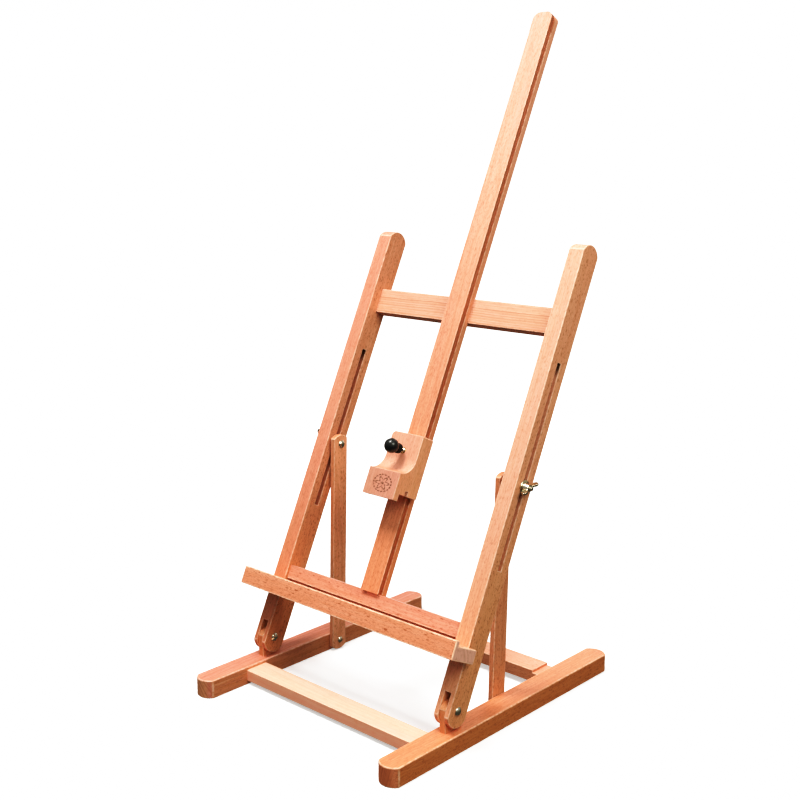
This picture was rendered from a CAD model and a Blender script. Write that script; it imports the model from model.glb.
"""A wooden table easel in beech: a base of two feet and two stretchers, a frame of two
slotted posts and a mast that leans back on the base, two struts that prop it, and a
canvas holder on the mast with a black knob. Metres, z up, the floor at z = 0.
The front faces -y, left is -x, and the easel is centred on x = 0."""
import bpy
import bmesh
import math
from mathutils import Matrix, Vector
from mathutils.bvhtree import BVHTree


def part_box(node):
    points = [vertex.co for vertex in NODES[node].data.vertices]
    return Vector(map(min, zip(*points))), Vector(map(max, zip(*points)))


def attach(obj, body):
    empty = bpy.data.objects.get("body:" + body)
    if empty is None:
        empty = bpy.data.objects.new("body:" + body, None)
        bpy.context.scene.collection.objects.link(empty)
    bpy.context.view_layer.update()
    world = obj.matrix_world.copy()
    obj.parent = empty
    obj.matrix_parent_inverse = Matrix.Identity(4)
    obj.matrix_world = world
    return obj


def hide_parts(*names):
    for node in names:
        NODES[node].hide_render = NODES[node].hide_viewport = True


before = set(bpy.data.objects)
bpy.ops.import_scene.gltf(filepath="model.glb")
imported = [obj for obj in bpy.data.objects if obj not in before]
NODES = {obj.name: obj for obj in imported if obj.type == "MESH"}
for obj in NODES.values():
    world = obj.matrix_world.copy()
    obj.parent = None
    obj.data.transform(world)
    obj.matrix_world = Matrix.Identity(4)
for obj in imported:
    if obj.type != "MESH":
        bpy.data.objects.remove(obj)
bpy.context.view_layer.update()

# ---------------------------------------------------------------- driving sizes
LEAN = math.radians(25.3)                # of the frame, backwards from upright
SIN_LEAN, COS_LEAN = math.sin(LEAN), math.cos(LEAN)
PIVOT = Vector((0.0, -0.1456, 0.054))    # axis the frame turns on
STRUT_FOOT = Vector((0.0, PIVOT.y + 0.1203, 0.0155))
SLOT_Y, SLOT_BOLT_V = 0.002, 0.295       # bolt in the post slots: own y and z of the frame
SLOT_BOLT = Vector((0.0,
                    SLOT_Y * COS_LEAN + SLOT_BOLT_V * SIN_LEAN + PIVOT.y,
                    PIVOT.z - SLOT_Y * SIN_LEAN + SLOT_BOLT_V * COS_LEAN))

# distances from the middle, x = 0
POST_X, POST_HALF = 0.173, 0.012
POST_IN, POST_OUT = POST_X - POST_HALF, POST_X + POST_HALF
STRUT_IN, STRUT_OUT = 0.149, 0.157
FOOT_IN = 0.158

SIDES = (("left", -1), ("right", 1))


# ---------------------------------------------------------------- frames of reference
def rot_x(angle):
    return Matrix.Rotation(angle, 4, "X")


# columns say where a piece's own x, y and z point; its own z is the grain
ALONG_X = Matrix(((0, 0, 1, 0), (1, 0, 0, 0), (0, 1, 0, 0), (0, 0, 0, 1)))
ALONG_Y = Matrix(((0, 1, 0, 0), (0, 0, 1, 0), (1, 0, 0, 0), (0, 0, 0, 1)))
WORLD = Matrix.Identity(4)
FRAME = Matrix.Translation(PIVOT) @ rot_x(-LEAN)
FRAME_X = FRAME @ ALONG_X
BASE = Matrix.Translation((0.0, PIVOT.y, 0.0))
BASE_X, BASE_Y = BASE @ ALONG_X, BASE @ ALONG_Y
strut_run = SLOT_BOLT - STRUT_FOOT
strut_rise = math.atan2(strut_run.z, strut_run.y)
STRUT = Matrix.Translation(STRUT_FOOT) @ rot_x(strut_rise - math.pi / 2)


def on_frame(x, y, z):
    return FRAME @ Vector((x, y, z))


def along(origin, direction):
    """Places a shape at origin with its z along direction."""
    turn = Vector((0, 0, 1)).rotation_difference(Vector(direction).normalized())
    return Matrix.Translation(origin) @ turn.to_matrix().to_4x4()


# ---------------------------------------------------------------- shader nodes
class Field:
    """A node's output; arithmetic on it adds math nodes."""

    def __init__(self, nodes, socket):
        self.nodes = nodes
        self.socket = socket

    def __add__(self, other):
        return self.nodes.math("ADD", self, other)

    def __radd__(self, other):
        return self.nodes.math("ADD", other, self)

    def __sub__(self, other):
        return self.nodes.math("SUBTRACT", self, other)

    def __rsub__(self, other):
        return self.nodes.math("SUBTRACT", other, self)

    def __mul__(self, other):
        return self.nodes.math("MULTIPLY", self, other)

    def __truediv__(self, other):
        return self.nodes.math("DIVIDE", self, other)

    def __pow__(self, other):
        return self.nodes.math("POWER", self, other)

    def __abs__(self):
        return self.nodes.math("ABSOLUTE", self)


class Nodes:
    """An emptied node tree with short calls for adding to it."""

    def __init__(self, tree):
        self.tree = tree
        tree.nodes.clear()

    def add(self, kind):
        return self.tree.nodes.new("ShaderNode" + kind)

    def put(self, socket, value):
        if isinstance(value, Field):
            self.tree.links.new(value.socket, socket)
        elif socket.type == "RGBA":
            socket.default_value = (*value, 1)
        else:
            socket.default_value = value

    def made(self, node, values, output=0):
        """Fills a node's first inputs and gives one of its outputs."""
        for socket, value in zip(node.inputs, values):
            self.put(socket, value)
        return Field(self, node.outputs[output])

    def math(self, operation, a, b=0.0):
        node = self.add("Math")
        node.operation = operation
        return self.made(node, (a, b, 0.0))

    def shift(self, vector, by, operation="ADD"):
        node = self.add("VectorMath")
        node.operation = operation
        return self.made(node, (vector, by))

    def scale(self, vector, factor):
        node = self.add("VectorMath")
        node.operation = "SCALE"
        self.put(node.inputs["Scale"], factor)
        return self.made(node, (vector,))

    def xyz(self, x, y, z):
        return self.made(self.add("CombineXYZ"), (x, y, z))

    def split(self, vector):
        node = self.add("SeparateXYZ")
        self.put(node.inputs[0], vector)
        return [Field(self, output) for output in node.outputs]

    def noise(self, at, detail, roughness, distortion=0.0, output=0, dims="3D"):
        node = self.add("TexNoise")
        node.noise_dimensions = dims
        self.put(node.inputs["W" if dims == "1D" else "Vector"], at)
        self.put(node.inputs["Scale"], 1.0)
        self.put(node.inputs["Detail"], detail)
        self.put(node.inputs["Roughness"], roughness)
        self.put(node.inputs["Distortion"], distortion)
        return Field(self, node.outputs[output])

    def cells(self, at):
        """Scattered cells: distance from the middle, and a random colour for each."""
        node = self.add("TexVoronoi")
        self.put(node.inputs["Vector"], at)
        self.put(node.inputs["Scale"], 1.0)
        return Field(self, node.outputs["Distance"]), Field(self, node.outputs["Color"])

    def ramp(self, value, start, end, low=0.0, high=1.0):
        """Smooth step from low at start to high at end."""
        node = self.add("MapRange")
        node.interpolation_type = "SMOOTHSTEP"
        return self.made(node, (value, start, end, low, high))

    def mix(self, factor, a, b, blend="MIX"):
        node = self.add("Mix")
        node.data_type = "RGBA"
        node.blend_type = blend
        self.put(node.inputs[0], factor)
        self.put(node.inputs[6], a)
        self.put(node.inputs[7], b)
        return Field(self, node.outputs[2])

    def over(self, under, colour, mask, strength):
        return self.mix(mask * strength, under, colour)

    def shade(self, under, tint, mask):
        return self.mix(mask, under, self.mix(1.0, under, tint, "MULTIPLY"))

    def coords(self, kind="Object"):
        return Field(self, self.add("TexCoord").outputs[kind])

    def attribute(self, name):
        node = self.add("Attribute")
        node.attribute_name = name
        return Field(self, node.outputs["Fac"])

    def bump(self, height, strength, distance):
        node = self.add("Bump")
        self.put(node.inputs["Strength"], strength)
        self.put(node.inputs["Distance"], distance)
        self.put(node.inputs["Height"], height)
        return Field(self, node.outputs[0])


class Surface(Nodes):
    """A material with one principled shader."""

    def __init__(self, name):
        self.material = bpy.data.materials.new(name)
        self.material.use_nodes = True
        super().__init__(self.material.node_tree)
        output = self.add("OutputMaterial")
        self.bsdf = self.add("BsdfPrincipled")
        self.tree.links.new(self.bsdf.outputs[0], output.inputs[0])

    def finish(self, **inputs):
        for name, value in inputs.items():
            self.put(self.bsdf.inputs[name.replace("_", " ")], value)
        return self.material


def srgb(*channels):
    """Linear colour of an 8-bit screen colour."""
    def linear(c):
        c /= 255.0
        return c / 12.92 if c <= 0.04045 else ((c + 0.055) / 1.055) ** 2.4
    return tuple(linear(c) for c in channels)


def scaled(colour, factor):
    return tuple(min(1.0, c * factor) for c in colour)


def blended(a, b, share):
    return tuple(p * (1 - share) + q * share for p, q in zip(a, b))


def tinted(colour, tint):
    return tuple(a * b for a, b in zip(colour, tint))


# ---------------------------------------------------------------- beech
FACING = {"+x": (1, 0, 0), "-x": (-1, 0, 0), "+y": (0, 1, 0)}


def beech(name, base, seed=0.0, pith=(0.06, 0.03), year=0.0034, rings=0.5, flecks=0.7,
          fleck_length=1.0, streaks=0.5, warp=1.0, lines=1.0, spots=0.35, spot_size=1.0,
          edge=0.62, end_tint=(0.86, 0.74, 0.64), stripe=None, face_tint=None, low=None,
          slot_top=None, groove=None, mark=None, grain_x=False):
    """Steamed beech: growth lines round a far-off pith, ray flecks that run with the
    grain on the flat-sawn faces and across it on the quartered ones, fibre, end grain
    and rubbed arrises. The piece's own z is the grain direction, or x with grain_x.

    pith: own x and y of the rings' centre; year: width of a year's growth.
    rings, flecks, streaks, lines, spots, edge: strengths.
    face_tint: a way in FACING and the tint of that face.
    low: lower and upper height of a fade, and the tint below it.
    slot_top: height of the slot's top end; groove: own y of its two sides."""
    g = Surface(name)
    point, normal = g.coords(), g.coords("Normal")
    if grain_x:
        point, normal = [g.xyz(y, z, x) for x, y, z in (g.split(point), g.split(normal))]
    x, y, z = g.split(point)
    nx, ny, nz = g.split(normal)
    q = g.shift(point, (seed * 0.137, seed * 0.291, seed * 0.173))
    qx, qy, qz = g.split(q)

    def stretched(across, grain):
        return g.xyz(qx * across, qy * across, qz * grain)

    def fibre_noise(across, grain, detail, roughness, **more):
        return g.noise(stretched(across, grain), detail, roughness, **more)

    # distance and angle from the pith, with a slow waviness
    slow = fibre_noise(across=9.0, grain=3.2, detail=2.0, roughness=0.5, output="Color")
    drift = g.scale(g.shift(slow, (0.5, 0.5, 0.5), "SUBTRACT"), 0.030 * warp)
    drift_x, drift_y, _ = g.split(drift)
    dx = x + drift_x - pith[0]
    dy = y + drift_y - pith[1]
    radius = g.math("SQRT", dx * dx + dy * dy)
    arc = g.math("ARCTAN2", dy, dx) * math.hypot(*pith)

    # growth rings: a line at each year's end, its strength changing from year to year
    vigour = g.noise(radius * 90.0, detail=3.0, roughness=0.6, dims="1D")
    saw = g.math("FRACT", radius / year + vigour * 2.4)
    line = saw ** 3.5 * g.ramp(saw, start=0.93, end=1.0, low=1.0, high=0.0)
    line = line * g.ramp(vigour, start=0.30, end=0.72, low=0.35, high=1.0)
    bands = g.noise(radius * 260.0, detail=4.0, roughness=0.65, dims="1D")

    # noises drawn out along the grain, from long streaks to fine pores
    streak = fibre_noise(across=210.0, grain=5.5, detail=3.0, roughness=0.55)
    broad = fibre_noise(across=28.0, grain=4.0, detail=2.0, roughness=0.5)
    fibre = fibre_noise(across=1900.0, grain=85.0, detail=3.0, roughness=0.6)
    coarse = fibre_noise(across=720.0, grain=30.0, detail=2.0, roughness=0.55)
    mottle = fibre_noise(across=170.0, grain=62.0, detail=3.0, roughness=0.6)
    pore = fibre_noise(across=3400.0, grain=420.0, detail=1.0, roughness=0.5)
    dash = fibre_noise(across=680.0, grain=200.0, detail=1.0, roughness=0.5)
    dash = g.ramp(dash, start=0.57, end=0.66)

    # the bigger lens-shaped flecks, scattered
    sway = streak * 0.004
    distance, random = g.cells(g.xyz((qx + sway) * 250.0, (qy + sway) * 250.0, qz * 92.0))
    chance, growth, tone = g.split(random)
    size = 0.17 * spot_size + growth * (0.14 * spot_size)
    lens = g.ramp(distance / size, start=1.0, end=0.60)
    lens = lens * g.ramp(chance, start=0.20, end=0.26)
    lens = lens * (0.55 + tone * 0.45)

    def rays(around, outward, grain, keep, soft):
        """Thin ribbons standing radially: their mask and a random tone for each."""
        at = g.xyz((arc + seed * 0.031) * around, radius * outward,
                   (qz + streak * 0.002) * (grain / fleck_length))
        distance, random = g.cells(at)
        chance, growth, tone = g.split(random)
        shown = g.ramp(chance, start=keep, end=keep + 0.05)
        size = 0.20 + growth * 0.24
        return g.ramp(distance / size, start=1.0, end=1.0 - soft) * shown, tone

    fine_rays, ray_tone = rays(around=880.0, outward=120.0, grain=215.0, keep=0.16, soft=0.6)
    long_rays, _ = rays(around=600.0, outward=80.0, grain=120.0, keep=0.50, soft=0.5)

    # end grain, and the sides: flat is 1 on flat-sawn faces, 0 on quartered ones
    end = g.ramp(abs(nz), start=0.72, end=0.95)
    side = 1.0 - end
    flat = abs(nx * (dx / radius) + ny * (dy / radius))
    flat = g.ramp(flat, start=0.25, end=0.85)
    fleck = g.math("MAXIMUM", fine_rays, long_rays * 0.9) * (side * flecks)

    light = scaled(blended(base, (0.95, 0.80, 0.62), 0.16), 1.06)
    deep = tinted(base, (0.80, 0.66, 0.54))
    rosy = tinted(base, (1.00, 0.86, 0.86))
    ochre = tinted(base, (0.98, 0.98, 0.84))
    dark = tinted(base, (0.46, 0.30, 0.20))

    colour = g.mix(g.ramp(broad, start=0.3, end=0.7), rosy, ochre)
    colour = g.mix(0.55, colour, base)
    if stripe is not None:
        colour = g.over(colour, stripe, g.ramp(bands, start=0.42, end=0.62), strength=0.85)
    # tone laid on, mask, strength
    for tone, mask, strength in (
            (deep, g.ramp(streak, start=0.50, end=0.74), 0.80 * streaks),
            (light, g.ramp(streak, start=0.48, end=0.26), 0.80 * streaks),
            (deep, g.ramp(bands, start=0.45, end=0.75), 0.45 * rings),
            (deep, line, 0.85 * rings),
            (deep, g.ramp(mottle, start=0.50, end=0.74), 0.30),
            (deep, g.ramp(coarse, start=0.52, end=0.72), 0.42 * lines),
            (light, g.ramp(coarse, start=0.48, end=0.30), 0.34 * lines),
            (deep, g.ramp(fibre, start=0.50, end=0.72), 0.30),
            (light, g.ramp(fibre, start=0.50, end=0.30), 0.22),
            # flecks: dark dashes on flat-sawn faces, paler ones on quartered faces
            (dark, fleck, flat * 0.80),
            (g.mix(ray_tone, deep, light), fleck, (1.0 - flat) * 0.50),
            (dark, dash, side * (0.46 * flecks)),
            (dark, lens, side * spots),
            (dark, line, side * (0.28 * rings)),
            (dark, g.ramp(pore, start=0.62, end=0.72), side * 0.24)):
        colour = g.over(colour, tone, mask, strength)

    # end grain drinks the finish: darker, with dots
    dots, _ = g.cells(stretched(1500.0, 30.0))
    end_colour = tinted(base, end_tint)
    for mask, strength in (
            (g.ramp(dots, start=0.32, end=0.10), 0.35),
            (line, min(1.0, 0.90 * rings)),
            (g.ramp(bands, start=0.48, end=0.66), 0.50 * rings),
            (g.ramp(mottle, start=0.5, end=0.7), 0.30)):
        end_colour = g.over(end_colour, dark, mask, strength)
    colour = g.mix(end, colour, end_colour)

    if face_tint is not None:
        way, tint = face_tint
        wx, wy, wz = FACING[way]
        facing = nx * wx + ny * wy + nz * wz
        colour = g.shade(colour, tint, g.ramp(facing, start=0.72, end=0.92))
    if groove is not None:
        near, far = groove
        inside = g.ramp(y, start=near, end=near + 0.0006)
        inside = inside * g.ramp(y, start=far + 0.0008, end=far + 0.0003)
        colour = g.shade(colour, (0.78, 0.70, 0.64), inside)
    if slot_top is not None:
        # shaded slot walls, near-black at the top end
        inside = g.ramp(abs(y - SLOT_Y), start=0.0048, end=0.0040)
        inside = inside * g.ramp(z, start=0.170, end=0.172)
        inside = inside * g.ramp(abs(nx), start=0.6, end=0.3)
        inside = inside * g.ramp(z, start=slot_top + 0.004, end=slot_top + 0.002)
        rise = g.ramp(z, start=slot_top - 0.020, end=slot_top - 0.005)
        shadow = g.mix(rise, (0.88, 0.80, 0.74), (0.16, 0.11, 0.08))
        colour = g.shade(colour, shadow, inside)
    if low is not None:
        bottom, top, tint = low
        colour = g.shade(colour, tint, g.ramp(z, start=top, end=bottom))

    # arrises rubbed pale, and faint handling marks
    worn = g.noise(g.scale(q, 160.0), detail=3.0, roughness=0.6)
    worn = g.attribute("arris") * g.ramp(worn, start=0.35, end=0.65, low=0.25, high=1.0)
    rubbed = scaled(blended(base, (1.0, 0.84, 0.64), 0.50), 1.15)
    colour = g.over(colour, rubbed, worn, strength=edge)
    smut = g.noise(g.scale(q, 34.0), detail=4.0, roughness=0.62)
    smut = g.ramp(smut, start=0.60, end=0.82)
    colour = g.over(colour, deep, smut, strength=0.16)

    # shares of each pattern in the relief and in the roughness
    height = fibre * 0.7 + (1.0 - fleck) * 0.5 + line * -0.35 + pore * 0.45
    roughness = 0.46 + (fibre - 0.5) * 0.16 + end * 0.16 + smut * -0.08
    if mark is not None:
        burn, nose = mark(g, x, y, z, ny, q)
        colour = g.shade(colour, (0.80, 0.79, 0.80), nose)
        colour = g.over(colour, (0.055, 0.018, 0.007), burn, strength=0.86)
        height = height + burn * -2.5
        roughness = roughness + burn * 0.25
    return g.finish(Base_Color=colour, Roughness=roughness, IOR=1.46, Specular_IOR_Level=0.42,
                    Normal=g.bump(height, strength=0.32, distance=0.00016))


# middle of the mark on the holder block, own x and z, and the depth of its front face
MARK_X, MARK_Z, MARK_FACE_Y = 0.0020, 0.2510, -0.0570
MARK_STRETCH = 1.36                      # width over height of the oval


def burnt_mark(g, x, y, z, ny, q):
    """A plain burnt-in oval: a broken ring, a six-lobed rosette and a centre dot.
    Gives the mask of the burning and that of the block's front face."""
    u = (x - MARK_X) / MARK_STRETCH
    v = z - MARK_Z
    radius = g.math("SQRT", u * u + v * v)
    angle = g.math("ARCTAN2", v, u)
    ragged = g.noise(g.scale(q, 1400.0), detail=2.0, roughness=0.6)
    radius = radius + (ragged - 0.5) * 0.0016
    ring = g.ramp(abs(radius - 0.0116), start=0.00125, end=0.00125 * 0.45)
    breaks = g.math("COSINE", angle * 18.0)
    ring = ring * g.ramp(breaks, start=-0.75, end=-0.25, low=0.15, high=1.0)
    petals = 0.0064 + g.math("COSINE", angle * 6.0) * 0.0024
    rosette = g.ramp(abs(radius - petals), start=0.00155, end=0.0008)
    dot = g.ramp(radius, start=0.0024, end=0.0016)
    burn = g.math("MAXIMUM", g.math("MAXIMUM", ring, rosette), dot)
    uneven = g.noise(g.scale(q, 520.0), detail=2.0, roughness=0.6)
    burn = burn * g.ramp(uneven, start=0.36, end=0.56, low=0.25, high=1.0)
    nose = g.ramp(ny, start=-0.7, end=-0.95)
    nose = nose * g.ramp(y, start=MARK_FACE_Y + 0.003, end=MARK_FACE_Y + 0.001)
    return burn * nose, nose


# ---------------------------------------------------------------- metals and plastic
def metal(name, base, rough, brushed, tarnish, seed=0.0, dull=(0.30, 0.27, 0.20)):
    """Hardware with fine polishing lines, a slightly uneven bloom and small dark pits."""
    g = Surface(name)
    point = g.shift(g.coords(), (seed * 0.11, seed * 0.07, seed * 0.19))
    x, y, z = g.split(point)
    lines = g.noise(g.xyz(x * 9000.0, y * 900.0, z * 900.0), detail=2.0, roughness=0.6)
    cloud = g.noise(g.scale(point, 420.0), detail=4.0, roughness=0.6)
    pit, _ = g.cells(g.scale(point, 1500.0))
    pit = g.ramp(pit, start=0.16, end=0.06)
    colour = g.over(base, dull, g.ramp(cloud, start=0.45, end=0.75), strength=tarnish)
    colour = g.over(colour, dull, pit, strength=0.30)
    roughness = rough + (lines - 0.5) * (0.22 * brushed)
    roughness = roughness + g.ramp(cloud, start=0.4, end=0.8) * 0.14
    height = lines * brushed + pit * -0.6
    return g.finish(Base_Color=colour, Metallic=1.0, Roughness=roughness,
                    Normal=g.bump(height, strength=0.10, distance=0.00008))


def black_plastic(name):
    """Moulded phenolic: near-black, glossy, with faint flow and fine hairline scuffs."""
    g = Surface(name)
    point = g.coords()
    x, y, z = g.split(point)
    flow = g.noise(g.scale(point, 130.0), detail=3.0, roughness=0.55, distortion=0.6)
    hair = g.noise(g.xyz(x * 5200.0, y * 700.0, z * 5200.0), detail=2.0, roughness=0.7)
    hair = g.ramp(hair, start=0.66, end=0.74)
    peel = g.noise(g.scale(point, 900.0), detail=2.0, roughness=0.5)
    colour = g.mix(g.ramp(flow, start=0.35, end=0.7),
                   (0.0055, 0.0060, 0.0085), (0.010, 0.011, 0.016))
    colour = g.over(colour, (0.05, 0.048, 0.052), hair, strength=0.30)
    # the neck is duller than the ball
    neck = g.ramp(z, start=0.0385, end=0.0350)
    roughness = 0.25 + neck * 0.25 + hair * 0.20 + flow * 0.07
    height = peel * 0.6 + hair * -0.5
    return g.finish(Base_Color=colour, Roughness=roughness, IOR=1.5,
                    Normal=g.bump(height, strength=0.07, distance=0.0001),
                    Specular_IOR_Level=0.40 - neck * 0.30,
                    Coat_Weight=(1.0 - neck) * 0.15, Coat_Roughness=0.14)


# hardware finishes by slot
FINISHES = {
    "nickel_hardware": metal("nickel_plate", srgb(214, 206, 186),
                             rough=0.16, brushed=0.35, tarnish=0.22),
    "zinc_screws": metal("zinc_plate", srgb(186, 184, 176), rough=0.30, brushed=0.5,
                         tarnish=0.30, seed=5, dull=(0.22, 0.21, 0.19)),
    "brass_inserts": metal("brass", srgb(206, 168, 92), rough=0.26, brushed=0.4,
                           tarnish=0.35, seed=7, dull=(0.28, 0.18, 0.07)),
    "black_knob": black_plastic("black_phenolic"),
}
CAST_NICKEL = metal("nickel_cast", srgb(222, 213, 190),
                    rough=0.14, brushed=0.15, tarnish=0.20, seed=3)


# ---------------------------------------------------------------- objects
def link(name, mesh):
    ob = bpy.data.objects.new(name, mesh)
    bpy.context.scene.collection.objects.link(ob)
    return ob


def smooth(mesh):
    for face in mesh.polygons:
        face.use_smooth = True


def enter(ob, body, nodes):
    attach(ob, body)
    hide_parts(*nodes)


def bvh_of(node):
    mesh = NODES[node].data
    return BVHTree.FromPolygons([v.co for v in mesh.vertices],
                                [tuple(p.vertices) for p in mesh.polygons])


WOOD = ["foot_left", "foot_right", "front_stretcher", "rear_stretcher",
        "pivot_lug_left", "pivot_lug_right", "post_left", "post_right", "crossbar",
        "lower_rail", "mast", "canvas_ledge", "strut_left", "strut_right", "holder_block"]
TREES = {node: bvh_of(node) for node in NODES}
BOXES = {node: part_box(node) for node in NODES}

# how close counts as touching: margin round the box, then distance to the surface
WOOD_REACH = (0.0001, 0.00006)
OTHER_REACH = (0.0005, 0.00045)


# ---------------------------------------------------------------- boards
def touches_neighbour(node, point):
    for other in NODES:
        if other == node:
            continue
        margin, reach = WOOD_REACH if other in WOOD else OTHER_REACH
        lo, hi = BOXES[other]
        if all(lo[i] - margin <= point[i] <= hi[i] + margin for i in range(3)):
            if TREES[other].find_nearest(point, reach)[0] is not None:
                return True
    return False


def plane_first_normals(bm):
    """Corner normals in which large flat faces keep their own normal exactly and the
    narrow rounded arrises beside them borrow it."""
    bm.normal_update()
    bm.faces.ensure_lookup_table()
    planes, area = {}, {}
    for face in bm.faces:
        n = face.normal
        plane = (round(n.x, 3), round(n.y, 3), round(n.z, 3),
                 round(n.dot(face.verts[0].co), 5))
        planes[face.index] = plane
        area[plane] = area.get(plane, 0.0) + face.calc_area() * 1e6
    limit = math.cos(math.radians(50.0))
    normals = []
    for face in bm.faces:
        for loop in face.loops:
            total = Vector((0.0, 0.0, 0.0))
            for other in loop.vert.link_faces:
                if other.normal.dot(face.normal) < limit:
                    continue
                weight = area[planes[other.index]]
                total += other.normal * (weight * weight + 1e-9)
            normals.append(total.normalized() if total.length > 0 else face.normal.copy())
    return normals


def wood_piece(node, place, body, material, width, segments=2, clamp=True,
               cut=None, shortest=0.0):
    """A CAD board remade with eased arrises, its own z along the grain.
    cut adds an edge loop at that height; edges under shortest are left alone."""
    bm = bmesh.new()
    bm.from_mesh(NODES[node].data)
    bmesh.ops.remove_doubles(bm, verts=bm.verts, dist=2e-6)
    bmesh.ops.dissolve_limit(bm, angle_limit=math.radians(1.2),
                             use_dissolve_boundaries=False,
                             verts=bm.verts, edges=bm.edges, delimit=set())
    bmesh.ops.recalc_face_normals(bm, faces=bm.faces)
    if cut is not None:
        bmesh.ops.bisect_plane(bm, geom=bm.verts[:] + bm.edges[:] + bm.faces[:], dist=1e-6,
                               plane_co=place @ Vector((0, 0, cut)),
                               plane_no=place.to_3x3() @ Vector((0, 0, 1)))
    arrises = []
    for edge in bm.edges:
        if len(edge.link_faces) != 2:
            continue
        # inside corners stay sharp, as the tools leave them
        if edge.calc_face_angle(0.0) < math.radians(28.0) or not edge.is_convex:
            continue
        if edge.calc_length() < shortest:
            continue
        if not touches_neighbour(node, (edge.verts[0].co + edge.verts[1].co) / 2):
            arrises.append(edge)
    arris = bm.faces.layers.float.new("arris")
    bevel = bmesh.ops.bevel(bm, geom=arrises, offset=width, offset_type="OFFSET",
                            segments=segments, profile=0.55, affect="EDGES",
                            clamp_overlap=clamp, miter_outer="SHARP", harden_normals=False)
    for face in bevel["faces"]:
        face[arris] = 1.0
    bmesh.ops.triangulate(bm, faces=[f for f in bm.faces if len(f.verts) > 4],
                          quad_method="BEAUTY", ngon_method="BEAUTY")
    bmesh.ops.transform(bm, matrix=place.inverted(), verts=bm.verts)
    bmesh.ops.recalc_face_normals(bm, faces=bm.faces)
    normals = plane_first_normals(bm)
    mesh = bpy.data.meshes.new(node + "_wood")
    bm.to_mesh(mesh)
    bm.free()
    smooth(mesh)
    mesh.normals_split_custom_set(normals)
    ob = link(node + "_wood", mesh)
    ob.matrix_world = place
    mesh.materials.append(material)
    enter(ob, body, [node])


# base
wood_piece("foot_left", BASE_Y, "base", beech(
    "beech_foot_left", srgb(222, 143, 130), seed=1, pith=(0.10, 0.045), year=0.0042,
    rings=0.8, flecks=0.45, streaks=0.8, stripe=srgb(213, 130, 92),
    face_tint=("+y", (1.0, 1.08, 0.84)), end_tint=(1.02, 1.20, 0.84)),
    width=0.0016, segments=3)
wood_piece("foot_right", BASE_Y, "base", beech(
    "beech_foot_right", srgb(226, 142, 108), seed=2, pith=(0.085, -0.06), year=0.0038,
    rings=0.8, flecks=0.65, face_tint=("+y", (0.82, 0.80, 0.58))),
    width=0.0016, segments=3)
wood_piece("front_stretcher", BASE_X, "base", beech(
    "beech_front_stretcher", srgb(240, 194, 173), seed=3, pith=(0.03, 0.12), year=0.0046,
    rings=0.45, flecks=0.15, lines=0.5, end_tint=(0.9, 0.84, 0.8), spots=0.0,
    face_tint=("-x", (1.32, 1.06, 1.00))),
    width=0.0009, clamp=False)
wood_piece("rear_stretcher", BASE_X, "base", beech(
    "beech_rear_stretcher", srgb(234, 162, 138), seed=4, pith=(0.05, -0.09), year=0.004,
    rings=0.6, flecks=0.5, streaks=0.6, face_tint=("-x", (0.74, 0.68, 0.60))),
    width=0.0010)
wood_piece("pivot_lug_left", BASE, "base", beech(
    "beech_lug_left", srgb(220, 146, 110), seed=5, pith=(0.05, 0.06), flecks=0.6),
    width=0.0007)
wood_piece("pivot_lug_right", BASE, "base", beech(
    "beech_lug_right", srgb(222, 150, 111), seed=6, pith=(0.05, -0.06), flecks=0.6),
    width=0.0007)

# leaning frame
wood_piece("post_left", FRAME, "frame", beech(
    "beech_post_left", srgb(220, 144, 124), seed=7, pith=(0.055, -0.075), year=0.0036,
    rings=0.6, flecks=0.8, face_tint=("+x", (1.06, 1.18, 1.06)),
    low=(0.02, 0.36, (0.93, 0.84, 0.68)), slot_top=0.441),
    width=0.0012, clamp=False)
wood_piece("post_right", FRAME, "frame", beech(
    "beech_post_right", srgb(228, 165, 144), seed=8, pith=(-0.05, -0.085), year=0.0036,
    rings=0.55, flecks=0.8, face_tint=("+x", (0.98, 0.97, 0.84)),
    low=(0.02, 0.36, (0.99, 0.94, 0.80)), slot_top=0.463),
    width=0.0012, clamp=False)
wood_piece("crossbar", FRAME_X, "frame", beech(
    "beech_crossbar", srgb(228, 166, 144), seed=9, pith=(0.022, 0.16), year=0.0036,
    rings=1.9, flecks=0.35, streaks=0.6, warp=0.4, spots=0.2),
    width=0.0010)
wood_piece("lower_rail", FRAME_X, "frame", beech(
    "beech_lower_rail", srgb(216, 148, 128), seed=10, pith=(0.10, 0.05), year=0.0036,
    rings=0.8, flecks=0.6, streaks=0.7, warp=1.6, edge=1.0, spots=0.9, spot_size=1.15,
    face_tint=("+y", (1.20, 1.42, 1.60))),
    width=0.0012, clamp=False)
# the mast's arrises are eased up to the cut, clear of its rounded end
wood_piece("mast", FRAME, "frame", beech(
    "beech_mast", srgb(230, 158, 138), seed=11, pith=(0.03, -0.11), year=0.0040,
    rings=0.6, streaks=0.6, low=(0.08, 0.80, (0.93, 0.79, 0.63)),
    face_tint=("+x", (0.92, 0.98, 0.92)), groove=(-0.0156, -0.0070)),
    width=0.0009, clamp=False, cut=0.942, shortest=0.1)
wood_piece("canvas_ledge", FRAME_X, "frame", beech(
    "beech_ledge", srgb(226, 149, 119), seed=12, pith=(-0.09, 0.05), year=0.0040,
    rings=0.45, flecks=1.0, fleck_length=0.8, end_tint=(1.06, 1.48, 1.90), edge=1.0,
    spots=1.0, spot_size=1.25, face_tint=("+y", (1.15, 1.30, 1.40))),
    width=0.0015)

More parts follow.
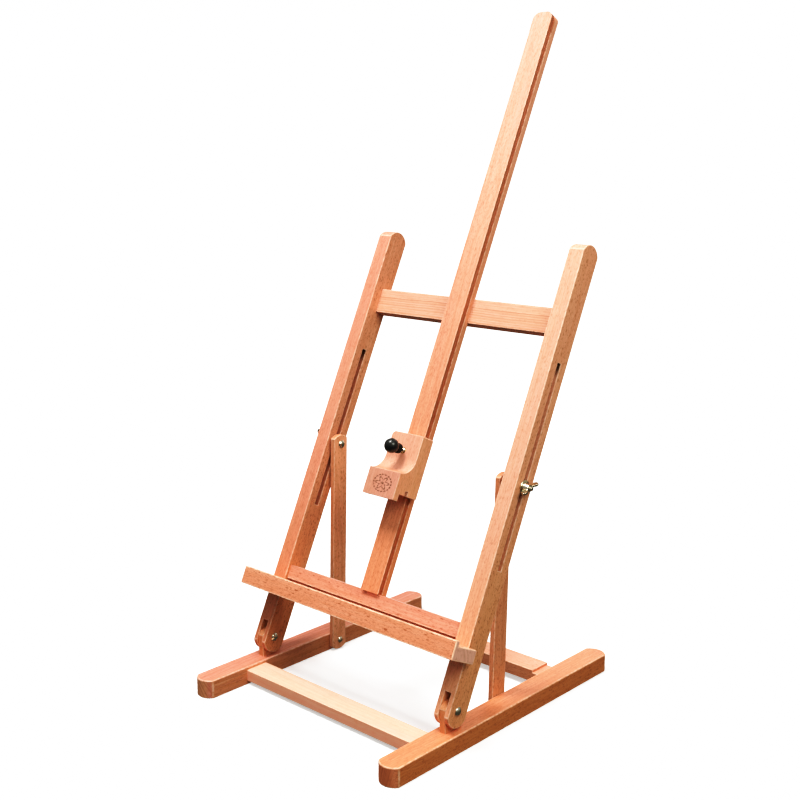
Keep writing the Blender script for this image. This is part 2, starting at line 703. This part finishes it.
# struts and holder
wood_piece("strut_left", STRUT, "strut_left", beech(
    "beech_strut_left", srgb(222, 152, 122), seed=13, pith=(0.04, 0.06), rings=0.6,
    flecks=0.6, face_tint=("+x", (1.34, 1.42, 1.46)), spots=0.5),
    width=0.0010)
wood_piece("strut_right", STRUT, "strut_right", beech(
    "beech_strut_right", srgb(220, 147, 116), seed=14, pith=(-0.04, 0.07), rings=0.6,
    flecks=0.6, face_tint=("+x", (0.97, 1.0, 0.98)), spots=0.6),
    width=0.0010)
wood_piece("holder_block", FRAME, "canvas_holder", beech(
    "beech_block", srgb(227, 161, 141), seed=15, pith=(-0.06, -0.05), year=0.0030,
    rings=0.35, flecks=0.45, streaks=0.35, mark=burnt_mark, spots=0.45, spot_size=0.9,
    face_tint=("+x", (1.10, 1.16, 0.98))),
    width=0.0009)

# dowels keep their CAD meshes
dowel_beech = beech("beech_dowel", srgb(236, 192, 150), seed=16, pith=(0.03, 0.04),
                    flecks=0.3, grain_x=True)
for node in ("front_stretcher_dowels", "rear_stretcher_dowels", "crossbar_dowels",
             "rail_dowels"):
    NODES[node].data.materials.clear()
    NODES[node].data.materials.append(dowel_beech)


# ---------------------------------------------------------------- turned shapes
def circle(radius, count):
    return [(radius * math.cos(2 * math.pi * i / count),
             radius * math.sin(2 * math.pi * i / count)) for i in range(count)]


def add_ring(bm, place, radius, height, count):
    return [bm.verts.new(place @ Vector((x, y, height))) for x, y in circle(radius, count)]


def bridge(bm, a, b):
    for i in range(len(a)):
        j = (i + 1) % len(a)
        bm.faces.new((a[i], a[j], b[j], b[i]))


def bridge_reversed(bm, a, b):
    """The same band of faces, wound the other way."""
    for i in range(len(a)):
        j = (i + 1) % len(a)
        bm.faces.new((a[i], b[i], b[j], a[j]))


def add_lathe(bm, profile, place, count, cap_start=True, cap_end=True):
    """Turned shape: profile is [(radius, height), ...] along place's z. A last radius
    of 0 closes it in a point."""
    rings = []
    for radius, height in profile:
        if radius < 1e-9:
            rings.append([bm.verts.new(place @ Vector((0, 0, height)))])
        else:
            rings.append(add_ring(bm, place, radius, height, count))
    for a, b in zip(rings, rings[1:]):
        if len(b) > 1:
            bridge(bm, a, b)
            continue
        for i in range(count):
            bm.faces.new((a[i], a[(i + 1) % count], b[0]))
    if cap_start:
        bm.faces.new(list(reversed(rings[0])))
    if cap_end and len(rings[-1]) > 1:
        bm.faces.new(rings[-1])
    return rings


def add_tube(bm, profile, place, count):
    """Turned shape whose profile closes on itself."""
    rings = add_lathe(bm, profile, place, count, cap_start=False, cap_end=False)
    bridge(bm, rings[-1], rings[0])


def finish_piece(bm, nodes, body, slot, suffix="turned", place=WORLD, angle=40.0):
    """Makes the object, named after the first CAD node it replaces. Edges over the
    angle, in degrees, stay sharp."""
    name = nodes[0] + "_" + suffix
    bmesh.ops.transform(bm, matrix=place.inverted(), verts=bm.verts)
    bmesh.ops.recalc_face_normals(bm, faces=bm.faces)
    mesh = bpy.data.meshes.new(name)
    bm.to_mesh(mesh)
    bm.free()
    smooth(mesh)
    mesh.set_sharp_from_angle(angle=math.radians(angle))
    ob = link(name, mesh)
    ob.matrix_world = place
    mesh.materials.append(FINISHES[slot])
    enter(ob, body, nodes)


def dome_profile(radius, height, rim=0.0006, steps=9):
    """Low dome on a short straight rim, from its seat at height 0 up."""
    points = [(radius - 0.0003, 0.0), (radius, 0.00025), (radius, rim)]
    rise = height - rim
    sphere = (radius * radius + rise * rise) / (2 * rise)
    sweep = math.asin(min(1.0, radius / sphere))
    for i in range(1, steps):
        a = sweep * (1 - i / steps)
        points.append((sphere * math.sin(a), rim + rise - sphere * (1 - math.cos(a))))
    points.append((0.0, height))
    return points


def threads(radius, start, end, pitch=0.001, depth=0.00045):
    count = max(1, int(round((end - start) / pitch)))
    step = (end - start) / count
    points = []
    for i in range(count):
        h = start + i * step
        points += [(radius - depth, h + 0.10 * step), (radius, h + 0.42 * step),
                   (radius, h + 0.58 * step), (radius - depth, h + 0.90 * step)]
    return points


# ---------------------------------------------------------------- bolts
BOLT_R = 0.003
HEAD_R, FOOT_HEAD_R, HEAD_H = 0.0060, 0.00475, 0.0034
HEAD_SEAT = POST_HALF + 0.0001           # pivot heads stand just off the post faces
STUD_OUT = 0.0141                        # slot bolt's end beyond the post


def add_bolt_head(bm, origin, direction, radius=HEAD_R, shank=0.0):
    """Domed head seated at origin and facing direction, with its shank running back."""
    place = along(origin, direction)
    add_lathe(bm, dome_profile(radius, HEAD_H), place, 56)
    if shank > 0:
        add_lathe(bm, [(BOLT_R, -shank), (BOLT_R, 0.0002)], place, 32)


def pivot_bolt(side, sx):
    """The head is on the +x face of both posts, the cap on the other."""
    bm = bmesh.new()
    add_bolt_head(bm, Vector((sx * POST_X + HEAD_SEAT, PIVOT.y, PIVOT.z)), (1, 0, 0),
                  shank=2 * HEAD_SEAT)
    finish_piece(bm, ["pivot_bolt_" + side], "frame_pivots", "nickel_hardware")
    bm = bmesh.new()
    add_bolt_head(bm, Vector((sx * POST_X - HEAD_SEAT, PIVOT.y, PIVOT.z)), (-1, 0, 0))
    finish_piece(bm, ["pivot_cap_nut_" + side], "frame_pivots", "nickel_hardware")


def strut_foot_bolt(side, sx):
    bm = bmesh.new()
    origin = Vector((sx * (STRUT_IN - 0.0001), STRUT_FOOT.y, STRUT_FOOT.z))
    add_bolt_head(bm, origin, (-sx, 0, 0), radius=FOOT_HEAD_R, shank=0.0251)
    finish_piece(bm, ["strut_pivot_bolt_" + side], "strut_pivot_" + side, "nickel_hardware")


def slot_bolt(side, sx):
    """One length: head, shank through strut, spacer and slot, threaded end."""
    bm = bmesh.new()
    origin = Vector((sx * STRUT_IN, SLOT_BOLT.y, SLOT_BOLT.z))
    add_bolt_head(bm, origin, (-sx, 0, 0))
    end = POST_OUT + STUD_OUT - STRUT_IN
    profile = [(BOLT_R, -0.0002), (BOLT_R, 0.030)]
    profile += threads(BOLT_R, 0.0302, end - 0.0006)
    profile += [(BOLT_R - 0.0006, end - 0.0003), (BOLT_R - 0.0011, end)]
    add_lathe(bm, profile, along(origin, (sx, 0, 0)), 32)
    finish_piece(bm, ["slot_bolt_" + side, "slot_stud_" + side], "strut_" + side,
                 "nickel_hardware", angle=30)


def washer(node, body, sx, inner, outer, radius, centre):
    """Flat ring between two distances from the middle, with eased outer edges."""
    bm = bmesh.new()
    low_x = min(sx * inner, sx * outer)
    thick = max(sx * inner, sx * outer) - low_x
    ease = 0.00022
    profile = [(BOLT_R, 0.0), (radius - ease, 0.0), (radius, ease),
               (radius, thick - ease), (radius - ease, thick), (BOLT_R, thick)]
    add_tube(bm, profile, along(Vector((low_x, centre.y, centre.z)), (1, 0, 0)), 56)
    finish_piece(bm, [node], body, "nickel_hardware", suffix="plate", angle=30)


for side, sx in SIDES:
    pivot_bolt(side, sx)
    strut_foot_bolt(side, sx)
    slot_bolt(side, sx)

for side, sx in SIDES:
    washer("strut_pivot_washer_" + side, "strut_pivot_" + side, sx, STRUT_OUT + 0.00005,
           STRUT_OUT + 0.00095, radius=0.009, centre=STRUT_FOOT)
    washer("slot_spacer_" + side, "strut_" + side, sx, STRUT_OUT,
           POST_IN - 0.0001, radius=0.008, centre=SLOT_BOLT)
    washer("slot_washer_" + side, "strut_" + side, sx, POST_OUT + 0.0001,
           POST_OUT + 0.0016, radius=0.0095, centre=SLOT_BOLT)


# ---------------------------------------------------------------- wing nuts
def wing_nut(side):
    """The CAD shape resampled and relaxed, for a cast part without sharp corners."""
    node = "wing_nut_" + side
    name = node + "_cast"
    mesh = NODES[node].data.copy()
    mesh.name = name
    mesh.materials.clear()
    ob = link(name, mesh)
    lo, hi = BOXES[node]
    centre = (lo + hi) / 2
    ob.matrix_world = Matrix.Translation(centre)
    mesh.transform(Matrix.Translation(-centre))
    resample = ob.modifiers.new("resample", "REMESH")
    resample.mode = "VOXEL"
    resample.voxel_size = 0.00032
    resample.use_smooth_shade = True
    relax = ob.modifiers.new("relax", "SMOOTH")
    relax.factor = 0.5
    relax.iterations = 5
    graph = bpy.context.evaluated_depsgraph_get()
    graph.update()
    baked = bpy.data.meshes.new_from_object(ob.evaluated_get(graph))
    ob.modifiers.clear()
    ob.data = baked
    baked.name = name
    baked.materials.clear()
    baked.materials.append(CAST_NICKEL)
    smooth(baked)
    enter(ob, node, [node])


for side, _ in SIDES:
    wing_nut(side)

# ---------------------------------------------------------------- canvas holder hardware
# heights run forward, square to the frame, from 16 mm in front of its own y = 0
KNOB = along(on_frame(0, -0.016, 0.303), Vector((0.0, -COS_LEAN, SIN_LEAN)))
NECK_START, SOCKET_END = 0.0245, 0.0340
NECK_R, SHOULDER_R = 0.0041, 0.0030
BALL_R, BALL_CENTRE, BALL_START = 0.0103, 0.0426, 0.0349


def knob_profile():
    points = [(BOLT_R, NECK_START), (NECK_R, NECK_START)]
    # rounded shoulder of the neck
    for i in range(1, 7):
        a = math.pi / 2 * i / 6
        points.append((NECK_R + SHOULDER_R * math.sin(a),
                       NECK_START + SHOULDER_R * (1 - math.cos(a))))
    points += [(0.0072, 0.0290), (0.0071, 0.0315), (0.0067, 0.0340)]
    # ball
    sweep = math.acos((BALL_START - BALL_CENTRE) / BALL_R)
    for i in range(1, 25):
        a = sweep * (1 - i / 24)
        points.append((BALL_R * math.sin(a), BALL_CENTRE + BALL_R * math.cos(a)))
    return points


def clamp_knob():
    bm = bmesh.new()
    add_lathe(bm, knob_profile(), KNOB, 64, cap_start=False)
    # socket for the screw
    add_lathe(bm, [(BOLT_R, SOCKET_END), (BOLT_R, NECK_START)], KNOB, 64, cap_end=False)
    bmesh.ops.remove_doubles(bm, verts=bm.verts, dist=1e-6)
    finish_piece(bm, ["clamp_knob"], "clamp_knob", "black_knob", place=KNOB, angle=60)


def clamp_screw():
    bm = bmesh.new()
    profile = [(0.0018, 0.0019), (0.0027, 0.0023)]
    profile += threads(BOLT_R, 0.0025, NECK_START - 0.0002, depth=0.00042)
    profile += [(BOLT_R - 0.0002, NECK_START), (BOLT_R - 0.0002, SOCKET_END - 0.0001)]
    add_lathe(bm, profile, KNOB, 32)
    finish_piece(bm, ["clamp_screw"], "clamp_knob", "nickel_hardware", place=KNOB, angle=30)


def holder_insert():
    bm = bmesh.new()
    start, end, radius, ease = 0.0050, 0.0170, 0.0045, 0.0003
    bore = BOLT_R + 0.0001
    profile = [(bore, start), (radius - ease, start), (radius, start + ease),
               (radius, end - ease), (radius - ease, end), (0.0034, end),
               (bore, end - 0.0004)]
    add_tube(bm, profile, KNOB, 48)
    finish_piece(bm, ["holder_insert"], "canvas_holder", "brass_inserts", place=KNOB,
                 angle=30)


def clamp_pad():
    bm = bmesh.new()
    profile = [(0.0058, 0.0001), (0.0060, 0.0003), (0.0060, 0.0015), (0.0058, 0.0018)]
    add_lathe(bm, profile, KNOB, 48)
    finish_piece(bm, ["clamp_pad"], "canvas_holder", "brass_inserts", place=KNOB, angle=30)


def strut_insert(side, sx):
    """Threaded insert in the foot, for the strut's bolt."""
    bm = bmesh.new()
    bore, radius = BOLT_R + 0.00008, 0.0045
    profile = [(bore, 0.0), (0.0042, 0.0), (radius, 0.0003)]
    profile += threads(radius, 0.0006, 0.0136, pitch=0.0016, depth=0.0005)
    profile += [(0.0043, 0.0140), (bore, 0.0140)]
    origin = Vector((sx * FOOT_IN, STRUT_FOOT.y, STRUT_FOOT.z))
    add_tube(bm, profile, along(origin, (sx, 0, 0)), 40)
    finish_piece(bm, ["strut_insert_" + side], "base", "brass_inserts", angle=30)


clamp_knob()
clamp_screw()
holder_insert()
clamp_pad()
for side, sx in SIDES:
    strut_insert(side, sx)

# ---------------------------------------------------------------- wood screws
SCREW_D = 0.004
SCREW_HEAD_R = SCREW_D * 0.95
CROSS_ARM, CROSS_HALF, CROSS_DEPTH = SCREW_HEAD_R * 0.66, 0.00042, 0.0013
HEAD_RINGS, SCREW_SIDES = 12, 48


def cross_depth(x, y):
    """Depth of the cross recess below the head's face."""
    def arm(run, off):
        across = max(0.0, min(1.0, (CROSS_HALF + 0.00018 - abs(off)) / 0.00030))
        length = max(0.0, min(1.0, (CROSS_ARM - abs(run)) / 0.0006))
        return across * length
    return CROSS_DEPTH * max(arm(x, y), arm(y, x))


def add_screw(bm, origin, direction, length):
    """Countersunk screw, head face at origin, running along direction."""
    place = along(origin, direction)
    centre = bm.verts.new(place @ Vector((0, 0, cross_depth(0, 0))))
    rows = []
    for i in range(1, HEAD_RINGS + 1):
        row = []
        for x, y in circle(SCREW_HEAD_R * i / HEAD_RINGS, SCREW_SIDES):
            depth = cross_depth(x, y) if i < HEAD_RINGS else 0.00004
            row.append(bm.verts.new(place @ Vector((x, y, depth))))
        rows.append(row)
    for j in range(SCREW_SIDES):
        k = (j + 1) % SCREW_SIDES
        bm.faces.new((centre, rows[0][j], rows[0][k]))
        for a, b in zip(rows, rows[1:]):
            bm.faces.new((a[j], b[j], b[k], a[k]))
    core = SCREW_D / 2
    profile = [(SCREW_HEAD_R, 0.0003), (core, SCREW_D * 0.55)]
    profile += threads(core, length * 0.35, length - SCREW_D, pitch=0.0018, depth=0.0004)
    profile += [(core * 0.8, length - SCREW_D * 0.8), (core * 0.25, length)]
    last = rows[-1]
    for radius, height in profile:
        ring = add_ring(bm, place, radius, height, SCREW_SIDES)
        bridge_reversed(bm, last, ring)
        last = ring
    bm.faces.new(last)


def screw_set(node, body, origins, direction, length):
    bm = bmesh.new()
    for origin in origins:
        add_screw(bm, origin, direction, length)
    finish_piece(bm, [node], body, "zinc_screws", suffix="cut", angle=35)


# those in the frame are driven forward from behind, those in the lugs up from below
SCREW_BACK_Y = 0.020
FORWARD = -(FRAME.to_3x3() @ Vector((0, 1, 0)))
screw_set("ledge_screws", "frame",
          [on_frame(sx * POST_X, SCREW_BACK_Y, z) for _, sx in SIDES for z in (0.067, 0.0755)],
          FORWARD, length=0.058)
screw_set("mast_screws", "frame",
          [on_frame(0, SCREW_BACK_Y, z) for z in (0.510, 0.528)], FORWARD, length=0.028)
screw_set("pivot_lug_screws", "base",
          [Vector((sx * POST_X, PIVOT.y + y, 0.0)) for _, sx in SIDES for y in (-0.007, 0.007)],
          (0, 0, 1), length=0.030)

# ---------------------------------------------------------------- floor
FLOOR_R, SWEEP_R, WALL_TOP = 2.6, 1.6, 6.0
FLOOR_SIDES = 96


def studio_paper():
    """White paper that glows, more so away from the easel, so that only contact
    shadows show."""
    g = Surface("studio_paper")
    point = g.coords()
    x, y, _ = g.split(point)
    grain = g.noise(g.scale(point, 60.0), detail=4.0, roughness=0.6)
    away = g.math("SQRT", x * x + y * y)
    return g.finish(Base_Color=g.mix(grain, (0.90, 0.90, 0.90), (0.93, 0.93, 0.93)),
                    Roughness=0.85, Specular_IOR_Level=0.1,
                    Emission_Color=(1.0, 1.0, 1.0),
                    Emission_Strength=g.ramp(away, start=0.35, end=1.4, low=0.44, high=0.95))


def studio_floor():
    """A floor that sweeps up into a backdrop all round the easel."""
    mesh = bpy.data.meshes.new("floor")
    bm = bmesh.new()
    profile = [(FLOOR_R, 0.0)]
    for i in range(1, 13):
        a = math.pi / 2 * i / 12
        profile.append((FLOOR_R + SWEEP_R * math.sin(a), SWEEP_R * (1 - math.cos(a))))
    profile.append((FLOOR_R + SWEEP_R, WALL_TOP))
    centre = bm.verts.new((0, 0, 0))
    rings = [add_ring(bm, WORLD, radius, height, FLOOR_SIDES) for radius, height in profile]
    for i in range(FLOOR_SIDES):
        bm.faces.new((centre, rings[0][i], rings[0][(i + 1) % FLOOR_SIDES]))
    for a, b in zip(rings, rings[1:]):
        bridge_reversed(bm, a, b)
    bm.to_mesh(mesh)
    bm.free()
    smooth(mesh)
    floor = link("studio_floor", mesh)
    mesh.materials.append(studio_paper())
    floor.visible_shadow = False
    floor.visible_diffuse = False
    floor.visible_glossy = False


studio_floor()

# ---------------------------------------------------------------- light
SKY_LOW = tuple(c * 0.09 for c in (1.0, 0.97, 0.93))
SKY_TOP = tuple(c * 0.60 for c in (1.0, 0.995, 0.985))
WARM_WHITE = (1.0, 0.985, 0.965)

world = bpy.data.worlds.new("studio")
bpy.context.scene.world = world
world.use_nodes = True
sky = Nodes(world.node_tree)
world_output = sky.add("OutputWorld")
background = sky.add("Background")
sky_rise = sky.ramp(sky.split(sky.coords("Generated"))[2], start=-0.25, end=0.85)
sky.put(background.inputs["Color"], sky.mix(sky_rise, SKY_LOW, SKY_TOP))
sky.put(background.inputs["Strength"], 1.0)
sky.tree.links.new(background.outputs[0], world_output.inputs[0])


def area_light(name, location, target, size, power, colour):
    light = bpy.data.lights.new(name, "AREA")
    light.shape = "RECTANGLE"
    light.size, light.size_y = size
    light.energy = power
    light.color = colour
    ob = link(name, light)
    ob.location = location
    ob.rotation_mode = "QUATERNION"
    ob.rotation_quaternion = (Vector(target) - Vector(location)).to_track_quat("-Z", "Y")
    return light


area_light("key", location=(-0.20, -0.58, 2.25), target=(0.0, 0.0, 0.40),
           size=(0.70, 0.70), power=52.0, colour=WARM_WHITE)
back_light = area_light("back", location=(-0.70, 2.10, 0.70), target=(0.0, 0.0, 0.45),
                        size=(1.2, 1.0), power=7.0, colour=WARM_WHITE)
back_light.specular_factor = 0.0
area_light("fill", location=(1.50, -0.40, 1.60), target=(0.0, 0.0, 0.60),
           size=(1.0, 1.0), power=23.5, colour=(1.0, 1.03, 0.93))

# ---------------------------------------------------------------- camera
AZIMUTH, ELEVATION = math.radians(42.642), math.radians(12.007)
CAMERA_AT = (1.074689, -1.073668 + PIVOT.y, 0.750802)

backward = Vector((math.sin(AZIMUTH) * math.cos(ELEVATION),
                   -math.cos(AZIMUTH) * math.cos(ELEVATION), math.sin(ELEVATION)))
rightward = Vector((math.cos(AZIMUTH), math.sin(AZIMUTH), 0.0))
camera_axes = Matrix((rightward, backward.cross(rightward), backward)).transposed()
camera = bpy.data.cameras.new("camera")
camera.sensor_width = 36.0
camera.lens = 53.93
camera.clip_start, camera.clip_end = 0.05, 50
camera_ob = link("camera", camera)
camera_ob.matrix_world = Matrix.Translation(CAMERA_AT) @ camera_axes.to_4x4()
bpy.context.scene.camera = camera_ob

# ---------------------------------------------------------------- print contrast
WHITE = 1.35
COMBINED, BLUE = 3, 2                    # curve numbers
# a soft toe and a shoulder: scene value, shown value
CONTRAST = [(0.0, 0.0), (0.05, 0.027), (0.10, 0.066), (0.20, 0.172), (0.35, 0.35),
            (0.50, 0.53), (0.75, 0.775), (1.0, 0.93), (WHITE, 1.0)]
# warmer shadows: blue in, blue out
WARM_SHADOWS = [(0.0, 0.0), (0.04, 0.033), (0.10, 0.090), (0.30, 0.292), (1.0, 1.0)]

view = bpy.context.scene.view_settings
view.view_transform = "Standard"
view.look = "None"
view.exposure = 0.0
view.gamma = 1.0
view.use_curve_mapping = True
mapping = view.curve_mapping
mapping.extend = "HORIZONTAL"
mapping.white_level = (WHITE, WHITE, WHITE)


def set_curve(index, points):
    curve = mapping.curves[index]
    curve.points[0].location = points[0]
    curve.points[1].location = points[-1]
    for point in points[1:-1]:
        curve.points.new(*point)


set_curve(COMBINED, [(scene / WHITE, shown) for scene, shown in CONTRAST])
set_curve(BLUE, WARM_SHADOWS)
mapping.update()

bpy.context.view_layer.update()
